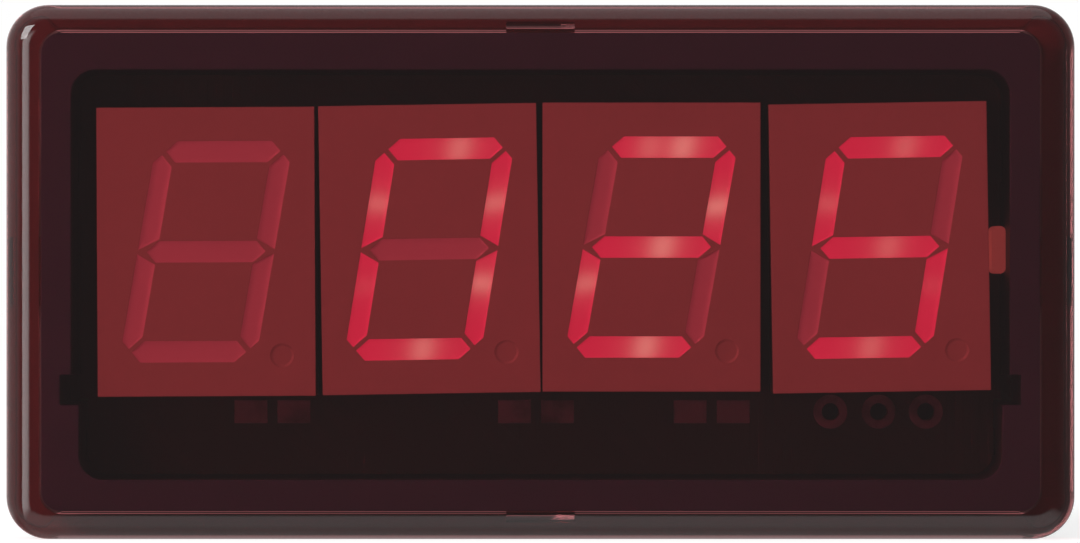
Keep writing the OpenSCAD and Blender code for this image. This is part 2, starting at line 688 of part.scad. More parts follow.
// What one pole takes out of the plug: screw well, clamp chamber, wire entry and the hole for the pin
module pole_cuts() {
    translate([0, screw_y, seat_z]) cylinder(r = screw_head_r + fit, h = plug_h);
    translate([0, screw_y, seat_z - seat_t - past]) cylinder(r = screw_r + fit, h = seat_t + 2 * past);
    span_box([-clamp_w / 2 - fit, screw_y - clamp_d / 2 - fit, clamp_top - window_h - clamp_wall - fit],
             [clamp_w / 2 + fit, screw_y + clamp_d / 2 + fit, seat_z - seat_t]);
    translate([0, 0, entry_z]) inward(screw_y, plug_d) square([entry_w, entry_h], center = true);
    translate([0, plug_back, entry_z]) mirror([0, 1, 0])
        inward(0, 1, entry_w / (entry_w + 2 * entry_lip))
            square([entry_w, entry_h] + 2 * entry_lip * [1, 1], center = true);
    span_box([-contact_w / 2 - fit, plug_nose + 0.8, pin_axis_z - 1.25],
             [contact_w / 2 + fit, screw_y, contact_top]);
    span_box([-0.75, plug_nose - past, pin_axis_z - 0.75], [0.75, plug_nose + past, pin_axis_z + 0.75]);
}

leaf_bottom = pin_axis_z - 1;                // underside of the contact's lower leaf
module plug_contacts() color([0.8, 0.72, 0.5])
    at_poles() {
        span_box([-contact_w / 2, plug_nose + 0.9, contact_top - contact_t],
                 [contact_w / 2, screw_y + clamp_d / 2 - 0.5, contact_top]);
        span_box([-contact_w / 2, plug_nose + 0.9, leaf_bottom],
                 [contact_w / 2, plug_front, pin_axis_z - post_w / 2 - contact_play]);
        span_box([-contact_w / 2, plug_front - 0.5, leaf_bottom], [contact_w / 2, plug_front, contact_top]);
    }

module terminal_screw(i) color([0.75, 0.75, 0.72]) translate([pole_x(i), screw_y, 0])
    difference() {
        union() {
            translate([0, 0, seat_z]) cylinder(r = screw_head_r, h = screw_head_t);
            translate([0, 0, contact_top + fit]) cylinder(r = screw_r, h = seat_z - contact_top);
        }
        translate([0, 0, seat_z + screw_head_t])
            cube([slot_w, 2 * screw_head_r + past, 2 * slot_d], center = true);
    }

module wire_clamp(i) color([0.8, 0.7, 0.4]) translate([pole_x(i), screw_y, clamp_top])
    difference() {
        span_box([-clamp_w / 2, -clamp_d / 2, -window_h - clamp_wall],
                 [clamp_w / 2, clamp_d / 2, clamp_head]);
        span_box([-clamp_w / 2 + clamp_wall, -clamp_d, -window_h], [clamp_w / 2 - clamp_wall, clamp_d, 0]);
        translate([0, 0, -past]) cylinder(r = screw_r + screw_play, h = clamp_head + 2 * past);
    }

// ---- panel latches ----

// Half the strip's thickness, square to the line from a to b
function half_strip(a, b) = let (d = b - a) [d[1], -d[0]] * latch_t / 2 / norm(d);

// A flat strip along the line from a to b, which runs past each end by half its thickness
module strip(a, b) {
    h = half_strip(a, b);
    e = [-h[1], h[0]];
    polygon([a + h - e, a - h - e, b - h + e, b + h + e]);
}

module latch_right() color([0.75, 0.76, 0.78])
    translate([0, 0, latch_z - latch_w / 2]) linear_extrude(latch_w) {
        strip(latch_lip, latch_crest);
        strip(latch_crest, latch_root);
        strip(latch_root, latch_bend);
        strip(latch_bend, latch_end);
    }
module latch_left() mirror([1, 0, 0]) latch_right();

// ---- what is drawn ----

front_cap();
panel_seal();
housing();
rear_cover();
display_board();
board_pads();
side_capacitor();
for (i = [1:4]) {
    digit_block(i - 1);
    light_guides(i - 1);
    digit_circuit(i - 1);
    digit_pins(i - 1);
}
main_board();
board_link_pins();
processor();
processor_leads();
converter_chip();
converter_leads();
crystal();
smoothing_capacitors();
choke_core();
choke_winding();
regulator();
chip_parts();
terminal_socket();
socket_pins();
plug_body();
plug_contacts();
latch_left();
latch_right();
for (i = [1:poles]) {
    terminal_screw(i);
    wire_clamp(i);
}
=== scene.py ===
"""Looks of the digital panel meter: its clear red cap, the lit figures and the finish of every part.

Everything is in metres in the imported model's frame: the front faces -Y and up is +Z."""

import math

import bmesh
import bpy
import numpy as np
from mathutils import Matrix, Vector


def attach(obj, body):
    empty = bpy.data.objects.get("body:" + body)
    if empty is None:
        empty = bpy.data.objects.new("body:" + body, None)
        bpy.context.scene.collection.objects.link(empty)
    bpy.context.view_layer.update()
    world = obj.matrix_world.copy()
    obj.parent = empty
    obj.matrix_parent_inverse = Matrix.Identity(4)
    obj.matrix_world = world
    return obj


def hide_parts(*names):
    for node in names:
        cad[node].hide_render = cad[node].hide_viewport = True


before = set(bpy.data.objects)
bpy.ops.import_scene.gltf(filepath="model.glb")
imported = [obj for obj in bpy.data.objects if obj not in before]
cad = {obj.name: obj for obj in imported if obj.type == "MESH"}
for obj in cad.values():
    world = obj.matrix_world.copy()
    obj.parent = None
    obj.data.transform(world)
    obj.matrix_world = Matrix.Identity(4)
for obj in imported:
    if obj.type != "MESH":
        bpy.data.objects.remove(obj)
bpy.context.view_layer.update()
MM = 0.001


# ---------------------------------------------------------------- meshes


def grid_quads(rows, columns, wrap=False):
    """Corner numbers of the quads of a grid whose points are numbered row by row. With wrap the last column
    meets the first."""
    last = columns if wrap else columns - 1
    r, c = np.meshgrid(np.arange(rows - 1), np.arange(last), indexing="ij")
    right = (c + 1) % columns
    first, second = r * columns, (r + 1) * columns
    quads = np.stack([first + c, first + right, second + right, second + c], axis=-1)
    return quads.reshape(-1, 4)


def mesh_piece(name, points, faces, crease=35, marks=None):
    """A mesh from points in millimetres and corner numbers. Doubles are merged, faces are turned outwards
    and edges sharper than crease degrees stay crisp. marks are numbers per point, kept as attributes."""
    mesh = bpy.data.meshes.new(name)
    mesh.from_pydata((np.asarray(points) * MM).tolist(), [], [list(map(int, f)) for f in faces])
    for label, values in (marks or {}).items():
        mesh.attributes.new(label, "FLOAT", "POINT").data.foreach_set("value", np.asarray(values, np.float32))
    work = bmesh.new()
    work.from_mesh(mesh)
    bmesh.ops.remove_doubles(work, verts=work.verts, dist=1e-7)
    bmesh.ops.recalc_face_normals(work, faces=work.faces)
    work.to_mesh(mesh)
    work.free()
    mesh.shade_smooth()
    mesh.set_sharp_from_angle(angle=math.radians(crease))
    piece = bpy.data.objects.new(name, mesh)
    bpy.context.scene.collection.objects.link(piece)
    return piece


# ---------------------------------------------------------------- shader parts


def add_node(tree, kind, sockets=None, **settings):
    """A shader node with its settings, and its sockets set to a value or joined to another node's output."""
    made = tree.nodes.new(kind)
    for label, value in settings.items():
        setattr(made, label, value)
    for label, value in (sockets or {}).items():
        socket = made.inputs[label]
        if isinstance(value, bpy.types.NodeSocket):
            tree.links.new(value, socket)
        else:
            socket.default_value = value
    return made


def ramp(tree, driver, stops, smooth=True):
    """A colour ramp: stops are pairs of a place from 0 to 1 and a colour or a grey value."""
    made = add_node(tree, "ShaderNodeValToRGB", {"Fac": driver})
    made.color_ramp.interpolation = "EASE" if smooth else "LINEAR"
    while len(made.color_ramp.elements) < len(stops):
        made.color_ramp.elements.new(0.5)
    for element, (place, colour) in zip(made.color_ramp.elements, stops):
        element.position = place
        element.color = (colour,) * 3 + (1,) if isinstance(colour, (int, float)) else tuple(colour) + (1,)
    return made.outputs["Color"]


def number(tree, operation, a, b=0.0):
    """The result of one arithmetic step on two numbers or outputs."""
    return add_node(tree, "ShaderNodeMath", {0: a, 1: b}, operation=operation).outputs[0]


def blend_colours(tree, share, a, b, way="MIX"):
    """Colour a turned into colour b by share."""
    made = add_node(tree, "ShaderNodeMix", {0: share, 6: a, 7: b}, data_type="RGBA", blend_type=way)
    return made.outputs[2]


def noise(tree, place, scale, detail=2.0, roughness=0.5):
    return add_node(
        tree, "ShaderNodeTexNoise", {"Vector": place, "Scale": scale, "Detail": detail, "Roughness": roughness}
    ).outputs["Fac"]


def stretched(tree, place, by):
    """The coordinates multiplied along X, Y and Z, so that a pattern is drawn out the other way."""
    return add_node(tree, "ShaderNodeMapping", {"Vector": place, "Scale": by}).outputs["Vector"]


def eased(tree, value, low, high, start, end):
    """A smooth change from start to end while the value goes from low to high."""
    return add_node(
        tree, "ShaderNodeMapRange",
        {"Value": value, "From Min": low, "From Max": high, "To Min": start, "To Max": end},
        interpolation_type="SMOOTHSTEP",
    ).outputs[0]


def effect(name, takes, gives):
    """An empty shader node group with named inputs and outputs: (tree, inputs, output node)."""
    tree = bpy.data.node_groups.new(name, "ShaderNodeTree")
    for label, kind, value in takes:
        socket = tree.interface.new_socket(label, in_out="INPUT", socket_type=kind)
        if value is not None:
            socket.default_value = value
    for label, kind in gives:
        tree.interface.new_socket(label, in_out="OUTPUT", socket_type=kind)
    return tree, tree.nodes.new("NodeGroupInput").outputs, tree.nodes.new("NodeGroupOutput")


VECTOR, COLOUR, FLOAT = "NodeSocketVector", "NodeSocketColor", "NodeSocketFloat"
SKIN = [("Colour", COLOUR), ("Roughness", FLOAT), ("Height", FLOAT)]


def moulded_effect():
    """Moulded plastic: fine pits from small noise, slow clouds from large noise that shift the colour and
    the gloss."""
    tree, take, give = effect(
        "moulded skin",
        [("Place", VECTOR, None), ("Colour", COLOUR, (0.1, 0.1, 0.1, 1)), ("Pits per metre", FLOAT, 4000.0),
         ("Gloss", FLOAT, 0.45), ("Clouds", FLOAT, 0.08)],
        SKIN,
    )
    pits = noise(tree, take["Place"], take["Pits per metre"], 3.0)
    clouds = noise(tree, take["Place"], 160.0, 4.0, 0.6)
    shift = number(tree, "MULTIPLY", number(tree, "SUBTRACT", clouds, 0.5), take["Clouds"])
    lift = number(tree, "ADD", number(tree, "MULTIPLY", shift, 3.0), 1.0)
    colour = add_node(tree, "ShaderNodeVectorMath", {0: take["Colour"], "Scale": lift}, operation="SCALE").outputs[0]
    tree.links.new(colour, give.inputs["Colour"])
    rough = number(tree, "ADD", take["Gloss"], number(tree, "MULTIPLY", number(tree, "SUBTRACT", pits, 0.5), 0.25))
    tree.links.new(number(tree, "ADD", rough, shift), give.inputs["Roughness"])
    tree.links.new(pits, give.inputs["Height"])
    return tree


def soft_edge_effect():
    """A normal that rounds every edge by the given radius, as a mould or a press leaves it."""
    tree, take, give = effect("soft edges", [("Radius", FLOAT, 0.0001)], [("Normal", VECTOR)])
    rounded = add_node(tree, "ShaderNodeBevel", {"Radius": take["Radius"]}, samples=4)
    tree.links.new(rounded.outputs["Normal"], give.inputs["Normal"])
    return tree


def plated_effect():
    """Plated metal: lines drawn along one direction, small stains, and a dulled tone where the stains lie."""
    tree, take, give = effect(
        "plated metal",
        [("Place", VECTOR, None), ("Colour", COLOUR, (0.8, 0.8, 0.8, 1)), ("Stain", COLOUR, (0.5, 0.48, 0.45, 1)),
         ("Gloss", FLOAT, 0.3)],
        SKIN,
    )
    lines = noise(tree, take["Place"], 900.0, 3.0)
    stains = ramp(tree, noise(tree, take["Place"], 420.0, 5.0, 0.65), [(0.45, 0.0), (0.72, 1.0)])
    colour = blend_colours(tree, number(tree, "MULTIPLY", stains, 0.55), take["Colour"], take["Stain"])
    tree.links.new(colour, give.inputs["Colour"])
    rough = number(tree, "ADD", take["Gloss"], number(tree, "MULTIPLY", stains, 0.18))
    tree.links.new(number(tree, "ADD", rough, number(tree, "MULTIPLY", lines, 0.12)), give.inputs["Roughness"])
    tree.links.new(lines, give.inputs["Height"])
    return tree


def mask_effect():
    """Solder mask over copper: bands along X and along the board's other direction are kept in square cells
    to make short tracks, dots make through holes, and both stand up under the mask."""
    tree, take, give = effect(
        "solder mask",
        [("Place", VECTOR, None), ("Colour", COLOUR, (0.02, 0.1, 0.05, 1)), ("Track", COLOUR, (0.05, 0.2, 0.1, 1)),
         ("Show", FLOAT, 1.0)],
        SKIN,
    )
    cells = add_node(
        tree, "ShaderNodeTexVoronoi", {"Vector": take["Place"], "Scale": 260.0, "Randomness": 0.55},
        distance="CHEBYCHEV",
    )
    pick = add_node(tree, "ShaderNodeSeparateColor", {"Color": cells.outputs["Color"]}).outputs
    across = add_node(
        tree, "ShaderNodeTexWave", {"Vector": take["Place"], "Scale": 420.0}, bands_direction="X"
    ).outputs["Fac"]
    along = add_node(
        tree, "ShaderNodeTexWave", {"Vector": take["Place"], "Scale": 420.0}, bands_direction="DIAGONAL"
    ).outputs["Fac"]
    bands = add_node(tree, "ShaderNodeMix", {0: number(tree, "GREATER_THAN", pick[0], 0.5), 2: across, 3: along})
    lines = ramp(tree, bands.outputs[0], [(0.52, 0.0), (0.6, 1.0)], smooth=False)
    kept = number(tree, "MULTIPLY", lines, number(tree, "GREATER_THAN", pick[1], 0.42))
    dots = add_node(tree, "ShaderNodeTexVoronoi", {"Vector": take["Place"], "Scale": 330.0, "Randomness": 1.0})
    vias = number(tree, "LESS_THAN", dots.outputs["Distance"], 0.11)
    raised = number(tree, "MAXIMUM", kept, vias)
    colour = blend_colours(tree, number(tree, "MULTIPLY", raised, take["Show"]), take["Colour"], take["Track"])
    weave = noise(tree, take["Place"], 2600.0, 2.0)
    tree.links.new(colour, give.inputs["Colour"])
    tree.links.new(number(tree, "ADD", 0.33, number(tree, "MULTIPLY", weave, 0.14)), give.inputs["Roughness"])
    tree.links.new(
        number(tree, "ADD", number(tree, "MULTIPLY", raised, 0.8), number(tree, "MULTIPLY", weave, 0.2)),
        give.inputs["Height"],
    )
    return tree


def glow_effect():
    """Resin over a light chip: the milky colour turns red where the bar is lit, and its glow goes from deep
    red to pale orange over the chip."""
    tree, take, give = effect(
        "glow of a bar",
        [("Place", VECTOR, None), ("Lit", FLOAT, 0.0), ("Heat", FLOAT, 0.0), ("Point", FLOAT, 0.0)],
        [("Colour", COLOUR), ("Glow", COLOUR), ("Roughness", FLOAT), ("Height", FLOAT)],
    )
    haze = noise(tree, take["Place"], 900.0, 3.0)
    milky = blend_colours(tree, haze, (0.82, 0.6, 0.88, 1), (0.9, 0.66, 0.92, 1))
    plain = blend_colours(tree, take["Point"], milky, (0.5, 0.49, 0.49, 1))
    colour = blend_colours(tree, take["Lit"], plain, (0.75, 0.2, 0.6, 1))
    deep = blend_colours(tree, haze, (0.56, 0.03, 0.11, 1), (0.62, 0.035, 0.125, 1))
    dark = blend_colours(tree, take["Lit"], (0, 0, 0, 1), deep)
    glow = blend_colours(tree, take["Heat"], dark, (0.9, 1.05, 0.8, 1))
    tree.links.new(colour, give.inputs["Colour"])
    tree.links.new(glow, give.inputs["Glow"])
    tree.links.new(number(tree, "ADD", 0.34, number(tree, "MULTIPLY", haze, 0.12)), give.inputs["Roughness"])
    tree.links.new(haze, give.inputs["Height"])
    return tree


MOULDED = moulded_effect()
SOFT_EDGE = soft_edge_effect()
PLATED = plated_effect()
MASKED = mask_effect()
GLOW = glow_effect()


def use(tree, group, **takes):
    """One of the shared effects placed in a material; takes are its inputs, with _ for a space."""
    made = add_node(tree, "ShaderNodeGroup", node_tree=group)
    for label, value in takes.items():
        socket = made.inputs[label.replace("_", " ")]
        if isinstance(value, bpy.types.NodeSocket):
            tree.links.new(value, socket)
        else:
            socket.default_value = value
    return made.outputs


def new_finish(name):
    """An empty material: (material, tree, principled shader, object coordinates)."""
    finish = bpy.data.materials.new(name)
    finish.use_nodes = True
    tree = finish.node_tree
    shader = tree.nodes["Principled BSDF"]
    place = add_node(tree, "ShaderNodeTexCoord").outputs["Object"]
    return finish, tree, shader, place


def skin(tree, shader, effect_out, bump=0.0, depth=0.00002, edge=0.0):
    """Joins an effect's colour, roughness and height to the shader, over edges rounded by edge metres."""
    tree.links.new(effect_out["Colour"], shader.inputs["Base Color"])
    tree.links.new(effect_out["Roughness"], shader.inputs["Roughness"])
    bumped = add_node(
        tree, "ShaderNodeBump", {"Strength": bump, "Distance": depth, "Height": effect_out["Height"]}
    )
    if edge:
        tree.links.new(use(tree, SOFT_EDGE, Radius=edge)["Normal"], bumped.inputs["Normal"])
    tree.links.new(bumped.outputs["Normal"], shader.inputs["Normal"])


def box_mask(tree, place, half):
    """One within the given half sizes along X and Z, nothing outside them."""
    x, _, z = add_node(tree, "ShaderNodeSeparateXYZ", {0: place}).outputs
    across = number(tree, "LESS_THAN", number(tree, "ABSOLUTE", x), half[0])
    up = number(tree, "LESS_THAN", number(tree, "ABSOLUTE", z), half[1])
    return number(tree, "MULTIPLY", across, up)


def moulded_finish(name, colour, pits=4000.0, gloss=0.45, clouds=0.08, bump=0.4, edge=0.00012):
    finish, tree, shader, place = new_finish(name)
    out = use(tree, MOULDED, Place=place, Colour=(*colour, 1), Pits_per_metre=pits, Gloss=gloss, Clouds=clouds)
    skin(tree, shader, out, bump, 0.00002, edge)
    return finish


def metal_finish(name, colour, stain, gloss=0.3, drawn=(1.0, 0.08, 1.0), bump=0.25, edge=0.00006):
    finish, tree, shader, place = new_finish(name)
    shader.inputs["Metallic"].default_value = 1.0
    out = use(
        tree, PLATED, Place=stretched(tree, place, drawn), Colour=(*colour, 1), Stain=(*stain, 1), Gloss=gloss
    )
    skin(tree, shader, out, bump, 0.000008, edge)
    return finish


def board_finish(name, colour, track, show):
    finish, tree, shader, place = new_finish(name)
    out = use(tree, MASKED, Place=place, Colour=(*colour, 1), Track=(*track, 1), Show=show)
    skin(tree, shader, out, 0.35, 0.00002)
    return finish


def window_finish():
    """Clear red acrylic: what passes through both faces keeps the tint, and lamp light passes straight in
    with the same tint, a square root of it at each face."""
    finish, tree, shader, place = new_finish("clear red acrylic")
    shader.inputs["Transmission Weight"].default_value = 1.0
    shader.inputs["IOR"].default_value = 1.49
    handled = noise(tree, place, 240.0, 4.0, 0.6)
    tint = blend_colours(tree, handled, (0.545, 0.168, 0.178, 1), (0.57, 0.178, 0.188, 1))
    tree.links.new(tint, shader.inputs["Base Color"])
    tree.links.new(ramp(tree, handled, [(0.4, 0.0), (0.75, 0.035)]), shader.inputs["Roughness"])
    clear = add_node(tree, "ShaderNodeBsdfTransparent", {"Color": (0.742, 0.412, 0.424, 1)})
    ray = add_node(tree, "ShaderNodeLightPath").outputs
    passing = number(tree, "MAXIMUM", ray["Is Shadow Ray"], ray["Is Diffuse Ray"])
    mixed = add_node(tree, "ShaderNodeMixShader", {0: passing, 1: shader.outputs[0], 2: clear.outputs[0]})
    tree.links.new(mixed.outputs[0], tree.nodes["Material Output"].inputs["Surface"])
    return finish


def resin_finish():
    """Milky resin of the light guides, which glows where its bar is lit."""
    finish, tree, shader, place = new_finish("light guide resin")
    read = {
        label: add_node(tree, "ShaderNodeAttribute", attribute_name=label).outputs["Fac"]
        for label in ("lit", "warmth", "point")
    }
    out = use(tree, GLOW, Place=place, Lit=read["lit"], Heat=read["warmth"], Point=read["point"])
    skin(tree, shader, out, 0.15, 0.00001)
    tree.links.new(out["Glow"], shader.inputs["Emission Color"])
    shader.inputs["Emission Strength"].default_value = 1.0
    return finish


def case_finish():
    """Black moulding. Behind the window, up to the depth of the digit faces, its rim is painted a shade bluer and
    lighter as painted light, and the cavity behind is painted darker still as painted shade; the cavity mask goes by
    X and Z only, so it darkens the middle of the rear cover too."""
    finish, tree, shader, place = new_finish("black case moulding")
    depth = add_node(tree, "ShaderNodeSeparateXYZ", {0: place}).outputs[1]
    # painted shade: inside the window's outline the case is coloured darker and bluer, standing in for the shade of
    # the cavity
    painted_cavity_shade = box_mask(tree, place, (0.0218, 0.0098))
    # painted light: faces in front of the digit faces' depth, the rim against the window, are coloured lighter and
    # bluer
    rim = number(tree, "LESS_THAN", depth, -0.00405)
    shell_with_painted_shade = blend_colours(tree, painted_cavity_shade, (0.05, 0.05, 0.053, 1), (0.018, 0.026, 0.038, 1))
    colour = blend_colours(tree, rim, shell_with_painted_shade, (0.034, 0.062, 0.14, 1))
    out = use(tree, MOULDED, Place=place, Colour=colour, Pits_per_metre=5200.0, Gloss=0.5, Clouds=0.08)
    skin(tree, shader, out, 0.5, 0.00002, 0.00012)
    return finish


def rubber_finish():
    """Dark rubber sheet, dull, with slow clouds of bloom."""
    finish, tree, shader, place = new_finish("seal rubber")
    out = use(
        tree, MOULDED, Place=place, Colour=(0.17, 0.11, 0.11, 1), Pits_per_metre=6000.0, Gloss=0.78, Clouds=0.2
    )
    skin(tree, shader, out, 0.6, 0.00003, 0.00012)
    return finish


def ceramic_finish():
    """Pale ceramic of the capacitor, with a weak red emission: painted light that brightens it, though it is no lamp.
    """
    finish = moulded_finish("tan ceramic", (0.85, 0.68, 0.52), pits=3000.0, gloss=0.4, clouds=0.15)
    shader = finish.node_tree.nodes["Principled BSDF"]
    # painted light: an emission that lifts the capacitor out of the shade it sits in
    shader.inputs["Emission Color"].default_value = (0.27, 0.1, 0.09, 1)
    shader.inputs["Emission Strength"].default_value = 1.0
    return finish


FINISH = {
    "red_window": window_finish(),
    "seal_rubber": rubber_finish(),
    "black_plastic": case_finish(),
    "dark_board": board_finish("dark solder mask", (0.012, 0.02, 0.016), (0.018, 0.028, 0.022), 0.5),
    "solder": metal_finish("tinned solder", (0.72, 0.71, 0.7), (0.45, 0.44, 0.42), 0.32, (1.0, 1.0, 1.0)),
    "capacitor_body": ceramic_finish(),
    "digit_grey": moulded_finish("grey digit face", (0.5, 0.49, 0.49), pits=7000.0, gloss=0.6, clouds=0.03, bump=0.2,
                                 edge=0.00004),
    "guide_resin": resin_finish(),
    "green_board": board_finish("green solder mask", (0.012, 0.11, 0.05), (0.03, 0.2, 0.09), 1.0),
    "gold_pins": metal_finish("gold flash", (0.83, 0.6, 0.24), (0.6, 0.42, 0.2), 0.25),
    "chip_resin": moulded_finish("chip package", (0.03, 0.03, 0.032), pits=9000.0, gloss=0.5, bump=0.35),
    "crystal_can": metal_finish("crystal can", (0.72, 0.71, 0.69), (0.5, 0.48, 0.45), 0.28, (0.1, 1.0, 1.0)),
    "blue_sleeve": moulded_finish("blue shrunk sleeve", (0.03, 0.05, 0.16), pits=1200.0, gloss=0.28, bump=0.15),
    "ferrite": moulded_finish("sintered ferrite", (0.07, 0.07, 0.075), pits=3000.0, gloss=0.55, bump=0.7),
    "copper_wire": metal_finish("enamelled copper", (0.66, 0.25, 0.1), (0.4, 0.14, 0.05), 0.22, (1.0, 1.0, 0.1)),
    "small_parts": moulded_finish("chip parts", (0.3, 0.22, 0.14), pits=3000.0, gloss=0.42, clouds=0.3),
    "green_plastic": moulded_finish("green terminal plastic", (0.028, 0.2, 0.085), pits=3600.0, gloss=0.4, bump=0.3),
    "contact_metal": metal_finish("tinned brass", (0.78, 0.68, 0.45), (0.55, 0.45, 0.3), 0.3),
    "spring_steel": metal_finish("spring strip", (0.62, 0.62, 0.63), (0.42, 0.41, 0.4), 0.24, (1.0, 0.06, 1.0)),
    "screw_steel": metal_finish("zinc plated screw", (0.72, 0.73, 0.74), (0.5, 0.49, 0.46), 0.3, (1.0, 1.0, 1.0)),
}


# ---------------------------------------------------------------- front cap

CAP_FACE, CAP_BACK = -6.0, -1.03
HALF_W, HALF_H, CORNER, EDGE = 24.0, 12.0, 1.9, 1.2
POCKET_W, POCKET_H, POCKET_R, POCKET_Y = 22.55, 10.85, 1.0, -4.23
LUG_HALF, LUG_RAMP, LUG_FRONT, LUG_REAR, LUG_OUT = 1.5, 0.05, -2.5, -1.5, 0.4


def rounded_ring(half_w, half_h, radius, lug=0.0, steps=14):
    """Points (x, z) round a rectangle with round corners, anticlockwise from the middle of the right side.
    Each side is straight but for its middle, where four stations let a lug stand in by the given amount."""
    stations = np.array([-LUG_HALF - LUG_RAMP, -LUG_HALF, LUG_HALF, LUG_HALF + LUG_RAMP])
    step_in = np.array([0.0, lug, lug, 0.0])
    turn = np.linspace(0, math.pi / 2, steps + 1)
    corner = np.stack([np.cos(turn), np.sin(turn)], axis=1) * radius
    sides = []
    for quarter in range(4):
        wide, tall = (half_w, half_h) if quarter % 2 == 0 else (half_h, half_w)
        straight = np.stack([wide - step_in, stations], axis=1)
        arc = corner + [wide - radius, tall - radius]
        side = np.concatenate([straight, arc])
        angle = quarter * math.pi / 2
        c, s = math.cos(angle), math.sin(angle)
        sides.append(side @ np.array([[c, s], [-s, c]]))
    return np.concatenate(sides)


def front_cap():
    """The cap is a stack of rings: up the skirt, round the face edge on a quarter circle, across the flat
    face, then down the pocket past the four snap lugs and back along the skirt's end."""
    rings = []

    def ring(y, inset=0.0):
        flat = rounded_ring(HALF_W - inset, HALF_H - inset, CORNER - inset)
        rings.append(np.insert(flat, 1, y, axis=1))

    def pocket_ring(y, lug=0.0):
        rings.append(np.insert(rounded_ring(POCKET_W, POCKET_H, POCKET_R, lug), 1, y, axis=1))

    inner = [(POCKET_Y, 0), (LUG_FRONT, 0), (LUG_FRONT + 0.02, LUG_OUT), (LUG_REAR - 0.02, LUG_OUT), (LUG_REAR, 0),
             (CAP_BACK, 0)]
    for y, lug in inner:
        pocket_ring(y, lug)
    ring(CAP_BACK)
    ring(CAP_FACE + EDGE + 0.06)
    for turn in np.linspace(0, math.pi / 2, 25):
        ring(CAP_FACE + EDGE * (1 - math.sin(turn)), EDGE * (1 - math.cos(turn)))
    ring(CAP_FACE, EDGE + 0.08)
    count = len(rings[0])
    faces = grid_quads(len(rings), count, wrap=True).tolist()
    faces.append(list(range(count)))
    faces.append(list(range((len(rings) - 1) * count, len(rings) * count)))
    return mesh_piece("red_cap", np.concatenate(rings), faces, crease=30)


# ---------------------------------------------------------------- light guides

DIGIT_FACE, WELL_DEPTH, WELL_TAPER, WEB, SINK = -3.7, 4.6, 0.6, 0.4, 0.05
FIGURE_H, FIGURE_W, BAR_T, BAR_W, BAR_GAP, LEAN = 9.95, 6.15, 0.96, 0.88, 0.17, 10.0
BLOCK_X = (-15.045, -4.995, 4.995, 15.265)
BLOCK_Z = (0.91, 1.03, 1.12, 1.11)
BLOCK_TILT = (0.3, 0.9, 0.0, 0.95)
WEB_HALF = (4.3, 5.9)
POINT_AT, POINT_R = (3.4, -4.68), 0.53
CHIP_SHIFT = ((1.3, 0), (0, 0), (0, 0.35), (0.3, 0), (0, 0.35), (0, 0), (0.25, 0))
SHOWN = ("", "abcdef", "abged", "afgcd")
HOT = (
    {},
    {"a": [(0.62, 0.75)], "b": [(0.55, 0.7)], "c": [(0.34, 0.85)], "d": [(0.58, 0.8)], "e": [(0.35, 0.12)],
     "f": [(0.54, 0.6)]},
    {"a": [(0.62, 1.0), (0.33, 0.45)], "b": [(0.6, 1.0)], "g": [(0.59, 1.0)], "e": [(0.35, 0.7)], "d": [(0.6, 1.0)]},
    {"a": [(0.58, 0.5)], "f": [(0.56, 0.35)], "g": [(0.57, 0.5)], "c": [(0.38, 0.12)], "d": [(0.56, 0.55)]},
)


def bar_outlines():
    """The seven bars a to g, each as two chains of four points between its two tips, left to right or top to
    bottom, then leaned."""
    w, h = FIGURE_W / 2, FIGURE_H / 2
    ix, iz, cut, m = w - BAR_W, h - BAR_T, w + h - BAR_T, BAR_GAP / math.sqrt(2)

    def on_cut(out):
        return (cut + ix - iz - out) / 2, (cut - ix + iz + out) / 2

    tip, top = on_cut(m), on_cut(-1.6 * m)
    level = ([(-tip[0], tip[1]), (h - cut, h), (cut - h, h), tip],
             [(-tip[0], tip[1]), (-ix + m, iz), (ix - m, iz), tip])
    painted_foot_level, knee = (w, 0.8 * m), BAR_T / 2 + 0.8 * m
    upright = ([top, (w, cut - w), (w, knee), painted_foot_level], [top, (ix, iz - 1.6 * m), (ix, knee), painted_foot_level])
    middle = ([(-ix - BAR_T / 2, 0), (-ix, BAR_T / 2), (ix, BAR_T / 2), (ix + BAR_T / 2, 0)],
              [(-ix - BAR_T / 2, 0), (-ix, -BAR_T / 2), (ix, -BAR_T / 2), (ix + BAR_T / 2, 0)])

    def turned(chains, sx, sz, swap=False):
        flipped = [np.array(c) * [sx, sz] for c in chains]
        return [c[::-1] for c in flipped] if swap else flipped

    bars = {"a": turned(level, 1, 1), "b": turned(upright, 1, 1), "c": turned(upright, 1, -1, True),
            "d": turned(level, 1, -1), "e": turned(upright, -1, -1, True), "f": turned(upright, -1, 1),
            "g": turned(middle, 1, 1)}
    slope = math.tan(math.radians(LEAN))
    return {k: [c + np.outer(c[:, 1], [slope, 0]) for c in chains] for k, chains in bars.items()}


def chain_points(chain, stations):
    """Points along a chain of four corners, which lie at the stations 0, 0.1, 0.9 and 1."""
    knots = [0.0, 0.1, 0.9, 1.0]
    return np.stack([np.interp(stations, knots, chain[:, k]) for k in (0, 1)], axis=1)


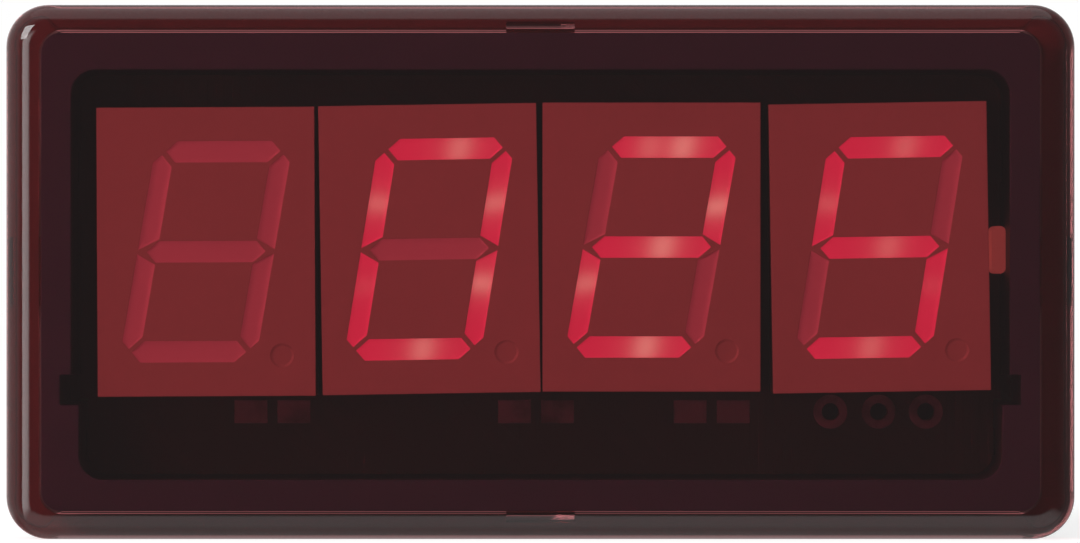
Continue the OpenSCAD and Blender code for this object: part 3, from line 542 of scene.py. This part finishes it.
def bar_shell(chains, chip, lit, spots):
    """One bar of resin as (points, faces, lit, heat). Its face is a grid between the two chains, sunk by
    SINK times one minus the fourth power of the way across; its wall shrinks towards the chip by the
    taper at the well's floor; heat is a sum of bell curves along the bar."""
    along = np.concatenate([np.linspace(0, 0.1, 6), np.linspace(0.1, 0.9, 57)[1:], np.linspace(0.9, 1, 6)[1:]])
    across = np.linspace(0, 1, 11)
    low, high = (chain_points(c, along) for c in chains)
    flat = low[:, None] * (1 - across)[None, :, None] + high[:, None] * across[None, :, None]
    width = np.clip(np.linalg.norm(high - low, axis=1) / 0.5, 0, 1)[:, None]
    dish = SINK * (1 - (2 * across - 1)[None, :] ** 4) * width
    front = np.stack([flat[..., 0], DIGIT_FACE + dish, flat[..., 1]], axis=-1).reshape(-1, 3)
    rows, columns = len(along), len(across)
    edge = np.concatenate([np.arange(rows) * columns, (np.arange(rows) * columns + columns - 1)[::-1]])
    rim = front[edge]
    floor = rim.copy()
    floor[:, (0, 2)] = (rim[:, (0, 2)] - chip) * WELL_TAPER + chip
    floor[:, 1] = DIGIT_FACE + WELL_DEPTH + 0.05
    back = front.copy()
    back[:, (0, 2)] = (front[:, (0, 2)] - chip) * WELL_TAPER + chip
    back[:, 1] = DIGIT_FACE + WELL_DEPTH + 0.05
    count = len(front)
    points = np.concatenate([front, back])
    faces = np.concatenate([grid_quads(rows, columns), grid_quads(rows, columns) + count])
    ring = np.stack([edge, np.roll(edge, -1), np.roll(edge, -1) + count, edge + count], axis=1)
    faces = np.concatenate([faces, ring])
    place = np.tile(np.repeat(along, columns), 2)
    middle = np.tile(np.abs(2 * across - 1), rows * 2)
    heat = np.zeros(len(points))
    for centre, strength in spots:
        far = (place - centre) ** 2
        heat += strength * (0.62 * np.exp(-far / 0.012) + 0.2 * np.exp(-far / 0.06))
    heat *= 1 - 0.35 * middle**3
    return points, faces, np.full(len(points), float(lit)), np.clip(heat, 0, 1) * lit


def point_shell():
    """The decimal point: rings from the middle outwards, a flat floor with a sloped rim, then a plain round
    wall down to the web."""
    turn = np.linspace(0, 2 * math.pi, 41)[:-1]
    radii = np.array([0.0, 0.2, 0.36, 0.42, 0.45, POINT_R])
    depth = DIGIT_FACE + np.array([0.06, 0.06, 0.06, 0.057, 0.05, 0.0])
    radii = np.append(radii, [POINT_R, 0.0])
    depth = np.append(depth, [DIGIT_FACE + WELL_DEPTH + 0.05] * 2)
    x = POINT_AT[0] + radii[:, None] * np.cos(turn)
    z = POINT_AT[1] + radii[:, None] * np.sin(turn)
    points = np.stack([x, np.repeat(depth[:, None], len(turn), 1), z], axis=-1).reshape(-1, 3)
    return points, grid_quads(len(radii), len(turn), wrap=True)


def web_shell():
    """The layer of resin over the circuit board: a flat slab between two rings with slightly rounded
    corners."""
    turn = np.linspace(0, math.pi / 2, 5)
    arc = np.stack([np.cos(turn), np.sin(turn)], axis=1) * 0.3 + np.array(WEB_HALF) - 0.3
    ring = np.concatenate([arc, arc[::-1] * [-1, 1], arc * [-1, -1], arc[::-1] * [1, -1]])
    y = DIGIT_FACE + WELL_DEPTH
    levels = [np.insert(ring * s, 1, depth, axis=1) for s, depth in ((0, y), (1, y), (1, y + WEB), (0, y + WEB))]
    return np.concatenate(levels), grid_quads(4, len(ring), wrap=True)


def light_guides(number_from_left):
    """All the resin of one digit, turned by the block's tilt and moved to its place in the row."""
    k = number_from_left - 1
    outlines = bar_outlines()
    parts = []
    for letter, shift in zip("abcdefg", CHIP_SHIFT):
        chains = outlines[letter]
        both = np.concatenate(chains)
        chip = (both.min(0) + both.max(0)) / 2 + shift
        parts.append(bar_shell(chains, chip, letter in SHOWN[k], HOT[k].get(letter, [])) + (0.0,))
    for points, faces in (point_shell(), web_shell()):
        nothing = np.zeros(len(points))
        parts.append((points, faces, nothing, nothing, 1.0))
    starts = np.cumsum([0] + [len(p[0]) for p in parts])
    points = np.concatenate([p[0] for p in parts])
    faces = [f for p, s in zip(parts, starts) for f in (np.asarray(p[1]) + s).tolist()]
    t = math.radians(BLOCK_TILT[k])
    x = points[:, 0] * math.cos(t) - points[:, 2] * math.sin(t) + BLOCK_X[k]
    z = points[:, 0] * math.sin(t) + points[:, 2] * math.cos(t) + BLOCK_Z[k]
    marks = {
        "lit": np.concatenate([p[2] for p in parts]),
        "warmth": np.concatenate([p[3] for p in parts]),
        "point": np.concatenate([np.full(len(p[0]), p[4]) for p in parts]),
    }
    placed = np.stack([x, points[:, 1], z], axis=1)
    return mesh_piece(f"lit_figure_{number_from_left}", placed, faces, crease=40, marks=marks)


# ---------------------------------------------------------------- dressing


def dress(piece, slot_name):
    piece.data.materials.clear()
    piece.data.materials.append(FINISH[slot_name])


SLOT_OF = {
    "front_cap": "red_window", "panel_seal": "seal_rubber", "housing": "black_plastic", "rear_cover": "black_plastic",
    "display_board": "dark_board", "board_pads": "solder", "side_capacitor": "capacitor_body",
    "main_board": "green_board", "board_link_pins": "gold_pins", "processor": "chip_resin",
    "processor_leads": "solder", "converter_chip": "chip_resin", "converter_leads": "solder",
    "crystal": "crystal_can", "smoothing_capacitors": "blue_sleeve", "choke_core": "ferrite",
    "choke_winding": "copper_wire", "regulator": "chip_resin", "chip_parts": "small_parts",
    "terminal_socket": "green_plastic", "socket_pins": "solder", "plug_body": "green_plastic",
    "plug_contacts": "contact_metal", "latch_left": "spring_steel", "latch_right": "spring_steel",
}
for i in range(1, 5):
    SLOT_OF.update({f"digit_{i}_block": "digit_grey", f"digit_{i}_light_guides": "guide_resin",
                    f"digit_{i}_circuit": "green_board", f"digit_{i}_pins": "solder"})
for i in range(1, 7):
    SLOT_OF.update({f"terminal_screw_{i}": "screw_steel", f"wire_clamp_{i}": "contact_metal"})
for name, piece in cad.items():
    dress(piece, SLOT_OF[name])
# painted shade: the display board's pads get a dark, dull tin colour that stands in for the shade of the cavity
# behind the window
cad["board_pads"].data.materials[0] = metal_finish(
    "tin darkened by painted shade", (0.27, 0.26, 0.36), (0.12, 0.12, 0.17), 0.5, (1.0, 1.0, 1.0)
)

cap = front_cap()
dress(cap, "red_window")
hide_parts("front_cap")
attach(cap, "meter")
for i in range(1, 5):
    guides = light_guides(i)
    dress(guides, "guide_resin")
    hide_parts(f"digit_{i}_light_guides")
    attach(guides, "meter")


# ---------------------------------------------------------------- floor, light and camera


FLOOR_Z, CAP_SIDE, FILLET_MIDDLE = -0.012, 0.0236, -0.0055  # metres
ROOM_LEFT, ROOM_RIGHT, CLOTH, CARD, STRIP = 0.75, 0.3, 0.2, 1.1, 4.9


def room_effect():
    """How bright the room is in a direction, as reflections show it. The camera's side is dark cloth, the
    left is paler than the right, a card hangs overhead, and a tall soft light stands 16 to 46 degrees
    left of the camera's side, brighter at its outer edge."""
    tree, take, give = effect("room in reflections", [("Direction", VECTOR, None)], [("Level", FLOAT)])
    x, y, z = add_node(tree, "ShaderNodeSeparateXYZ", {0: take["Direction"]}).outputs
    side = eased(tree, x, -0.6, 0.6, ROOM_LEFT, ROOM_RIGHT)
    reach = eased(tree, y, -0.75, -0.3, 0.0, 1.0)
    walls = number(tree, "ADD", CLOTH, number(tree, "MULTIPLY", reach, number(tree, "SUBTRACT", side, CLOTH)))
    card = eased(tree, z, 0.77, 0.87, 0.0, CARD)
    bearing = number(tree, "ARCTAN2", number(tree, "MULTIPLY", x, -1.0), number(tree, "MULTIPLY", y, -1.0))
    outer = eased(tree, bearing, 0.75, 0.85, 1.0, 0.0)
    inner = eased(tree, bearing, 0.16, 0.42, 0.0, 1.0)
    tone = eased(tree, bearing, 0.3, 0.8, 0.75, 1.0)
    upright = eased(tree, number(tree, "ABSOLUTE", z), 0.2, 0.4, 1.0, 0.0)
    strip = number(tree, "MULTIPLY", number(tree, "MULTIPLY", outer, inner), number(tree, "MULTIPLY", tone, upright))
    bright = number(tree, "MAXIMUM", card, number(tree, "MULTIPLY", strip, STRIP))
    tree.links.new(number(tree, "MAXIMUM", walls, bright), give.inputs["Level"])
    return tree


def floor_sheet(room):
    """A flat pale floor under the meter: a plain grid. In reflections it shows a painted reflection of the room, by
    the bearing from the nearest point of the cap's front, with a painted pale band and a painted darker strip close
    along the bottom of the cap's front."""
    side = np.linspace(-3.0, 3.0, 13)
    x, y = np.meshgrid(side, side, indexing="xy")
    points = np.stack([x, y, np.full_like(x, FLOOR_Z)], axis=-1).reshape(-1, 3)
    mesh = bpy.data.meshes.new("floor")
    mesh.from_pydata(points.tolist(), [], grid_quads(13, 13).tolist())
    sheet = bpy.data.objects.new("floor", mesh)
    bpy.context.scene.collection.objects.link(sheet)
    finish, tree, shader, place = new_finish("pale floor")
    shader.inputs["Roughness"].default_value = 0.9
    shader.inputs["Specular IOR Level"].default_value = 0.0
    shader.inputs["Emission Strength"].default_value = 1.0
    paper = noise(tree, place, 30.0, 3.0)
    seen = add_node(tree, "ShaderNodeLightPath").outputs
    mirrored = number(tree, "MAXIMUM", seen["Is Glossy Ray"], seen["Is Transmission Ray"])
    x, y, _ = add_node(tree, "ShaderNodeSeparateXYZ", {0: place}).outputs
    nearest = add_node(tree, "ShaderNodeClamp", {0: x, 1: -CAP_SIDE, 2: CAP_SIDE}).outputs[0]
    off_x = number(tree, "SUBTRACT", x, nearest)
    off_y = number(tree, "SUBTRACT", y, FILLET_MIDDLE)
    bearing = add_node(tree, "ShaderNodeCombineXYZ", {0: off_x, 1: off_y, 2: 0.0}).outputs[0]
    away = add_node(tree, "ShaderNodeVectorMath", {0: bearing}, operation="NORMALIZE").outputs[0]
    # painted reflection: for reflection rays the floor's emission is the room's level by bearing, not light that
    # falls on it
    far = use(tree, room, Direction=away)["Level"]
    # painted reflection: a paler band, then a darker strip close in front of the cap's bottom edge, seen only in
    # reflections
    painted_margin_level = eased(tree, y, -0.0063, -0.0057, 1.12, 0.68)
    painted_foot_level = number(tree, "MULTIPLY", painted_margin_level, eased(tree, y, -0.0054, -0.005, 1.0, 0.4))
    near = number(tree, "MULTIPLY", eased(tree, y, -0.0125, -0.008, 0.0, 1.0),
                  eased(tree, number(tree, "ABSOLUTE", off_x), 0.0, 0.003, 1.0, 0.0))
    level = number(tree, "ADD", far, number(tree, "MULTIPLY", near, number(tree, "SUBTRACT", painted_foot_level, far)))
    tone = blend_colours(tree, paper, (0.78, 0.78, 0.78, 1), (0.8, 0.8, 0.8, 1))
    pale = blend_colours(tree, seen["Is Camera Ray"], tone, (0.4, 0.4, 0.4, 1))
    tree.links.new(blend_colours(tree, mirrored, pale, (0, 0, 0, 1)), shader.inputs["Base Color"])
    lift = blend_colours(tree, seen["Is Camera Ray"], (0, 0, 0, 1), (0.74, 0.74, 0.74, 1))
    grey = add_node(tree, "ShaderNodeCombineColor", {0: level, 1: level, 2: level}).outputs[0]
    tree.links.new(blend_colours(tree, mirrored, lift, grey), shader.inputs["Emission Color"])
    mesh.materials.append(finish)


def studio_world(room):
    """White where the background shows. As light on matt faces the room is dark towards the camera's side,
    bright straight above and to the left, and dim on the right. Reflections see the room in its own
    levels."""
    world = bpy.data.worlds.new("studio")
    bpy.context.scene.world = world
    world.use_nodes = True
    tree = world.node_tree
    shader = tree.nodes["Background"]
    direction = add_node(tree, "ShaderNodeTexCoord").outputs["Generated"]
    x, y, z = add_node(tree, "ShaderNodeSeparateXYZ", {0: direction}).outputs
    side = eased(tree, x, -0.6, 0.6, 0.75, 0.13)
    above = number(tree, "MULTIPLY", eased(tree, z, 0.1, 0.8, 0.0, 1.0),
                   eased(tree, number(tree, "ABSOLUTE", x), 0.1, 0.6, 1.0, 0.3))
    behind = number(tree, "MAXIMUM", number(tree, "MAXIMUM", side, above), eased(tree, y, 0.1, 0.6, 0.0, 0.6))
    soft = number(tree, "MULTIPLY", behind, eased(tree, y, -0.97, -0.5, 0.16, 1.0))
    ray = add_node(tree, "ShaderNodeLightPath").outputs
    mirrored = number(tree, "MAXIMUM", ray["Is Glossy Ray"], ray["Is Transmission Ray"])
    sharp = use(tree, room, Direction=direction)["Level"]
    level = add_node(tree, "ShaderNodeMix", {0: mirrored, 2: soft, 3: sharp}).outputs[0]
    grey = add_node(tree, "ShaderNodeCombineColor", {0: level, 1: level, 2: level}).outputs[0]
    tree.links.new(blend_colours(tree, ray["Is Camera Ray"], grey, (1, 1, 1, 1)), shader.inputs["Color"])


def lamp(name, place, aim, size, radiance, mirrored=True):
    """A soft box of the given width and height in metres, whose brightness per area is radiance. With
    mirrored off it lights matt faces only."""
    data = bpy.data.lights.new(name, "AREA")
    data.shape = "RECTANGLE"
    data.size, data.size_y = size
    data.energy = radiance * 4 * size[0] * size[1]
    box = bpy.data.objects.new(name, data)
    bpy.context.scene.collection.objects.link(box)
    box.location = place
    box.rotation_euler = (Vector(aim) - Vector(place)).to_track_quat("-Z", "Y").to_euler()
    box.visible_camera = False
    box.visible_glossy = mirrored


def photo_camera():
    """A long lens straight in front of the cap, on its middle line."""
    data = bpy.data.cameras.new("front")
    camera = bpy.data.objects.new("front", data)
    bpy.context.scene.collection.objects.link(camera)
    away = 0.55
    data.sensor_width = 36.0
    data.lens = 36.0 * away / 0.04843
    data.clip_start, data.clip_end = 0.01, 20.0
    camera.location = (-0.00002, CAP_FACE * MM - away, 0.00002)
    camera.rotation_euler = (math.radians(90), 0, 0)
    bpy.context.scene.camera = camera


ROOM = room_effect()
floor_sheet(ROOM)
studio_world(ROOM)
lamp("key", (-0.508, -0.493, 0.349), (0, 0, 0), (0.36, 0.36), 7.2)
lamp("left strip", (-0.354, -0.526, 0.02), (0, 0, 0.02), (0.41, 0.086), 6.5, mirrored=False)
photo_camera()
bpy.context.scene.view_settings.view_transform = "Standard"
